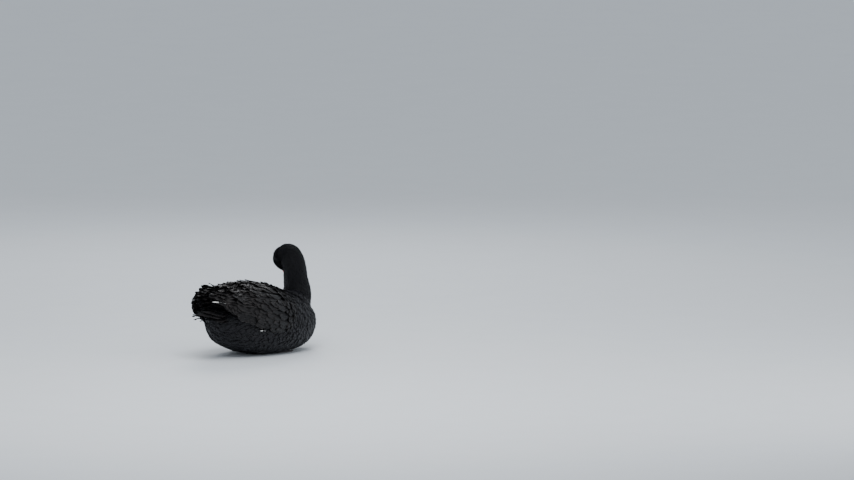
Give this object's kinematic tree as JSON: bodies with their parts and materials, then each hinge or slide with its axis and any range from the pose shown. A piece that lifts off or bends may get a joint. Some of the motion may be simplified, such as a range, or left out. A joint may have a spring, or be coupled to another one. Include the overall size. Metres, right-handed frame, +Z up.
{
  "type": "black swan model",
  "caption": "Life-size resting black swan, neck drawn back and head bowed, with ruffled wing feathers, red bill and tucked webbed feet.",
  "frame": {"origin": "middle of the flat under the belly, on the floor", "axes": "+X the way the body faces, +Y its left side, +Z up"},
  "size_m": [0.6381, 0.2974, 0.3561],
  "materials": {
    "black_feather": "soft sooty black contour feathers with a faint slate sheen and paler fringes",
    "wing_feather": "curled black-brown wing and tail feathers with grey-brown fringes",
    "white_quill": "white flight feathers showing as glints under the folded wings",
    "red_bill": "waxy deep red horn with a pale band near the tip",
    "red_eye": "wet red-brown eye with a dark pupil",
    "black_skin": "scaly greyish-black skin of the legs, toes and webs"
  },
  "bodies": {
    "root": {"torso": "black_feather", "neck_lower": "black_feather", "neck_middle": "black_feather", "neck_upper": "black_feather", "head": "black_feather", "bill_upper": "red_bill", "bill_lower": "red_bill", "eye_left": "red_eye", "eye_right": "red_eye", "wing_left": "wing_feather", "wing_right": "wing_feather", "tail": "wing_feather", "leg_left": "black_skin", "leg_right": "black_skin", "foot_left": "black_skin", "foot_right": "black_skin"}
  },
  "joints": []
}
